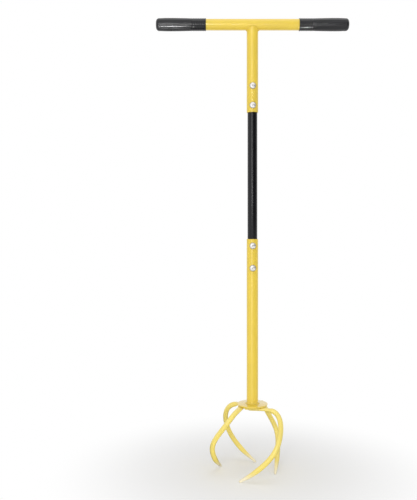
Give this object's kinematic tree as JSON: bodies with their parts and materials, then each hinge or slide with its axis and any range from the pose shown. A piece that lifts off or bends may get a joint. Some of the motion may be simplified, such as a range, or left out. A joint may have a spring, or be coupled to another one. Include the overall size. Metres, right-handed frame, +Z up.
{
  "type": "twist tiller",
  "caption": "Hand tiller with a T handle, a bolted tube shaft and a claw of swept tines that digs when twisted.",
  "frame": {"origin": "on the shaft's axis, at the level of the tine tips", "axes": "+Z up the shaft to the handle, X along the crossbar, -Y the side of the bolt heads"},
  "size_m": [0.423, 0.1569, 0.9947],
  "materials": {
    "yellow_coat": "semi-gloss powder coat",
    "tine_coat": "semi-gloss powder coat, paler at the forged tips",
    "black_coat": "semi-gloss black paint",
    "grip_plastic": "moulded, satin",
    "bright_steel": "bright zinc plate"
  },
  "bodies": {
    "root": {"crossbar": "yellow_coat", "upper_stem": "yellow_coat", "lower_tube": "yellow_coat", "hub_plate": "yellow_coat", "middle_tube": "black_coat", "grip_left": "grip_plastic", "grip_right": "grip_plastic", "tine_front": "tine_coat", "tine_left": "tine_coat", "tine_rear": "tine_coat", "tine_right": "tine_coat", "bolt_upper_inner": "bright_steel", "washer_upper_inner": "bright_steel", "nut_upper_inner": "bright_steel", "bolt_upper_outer": "bright_steel", "washer_upper_outer": "bright_steel", "nut_upper_outer": "bright_steel", "bolt_lower_outer": "bright_steel", "washer_lower_outer": "bright_steel", "nut_lower_outer": "bright_steel", "bolt_lower_inner": "bright_steel", "washer_lower_inner": "bright_steel", "nut_lower_inner": "bright_steel"}
  },
  "joints": []
}
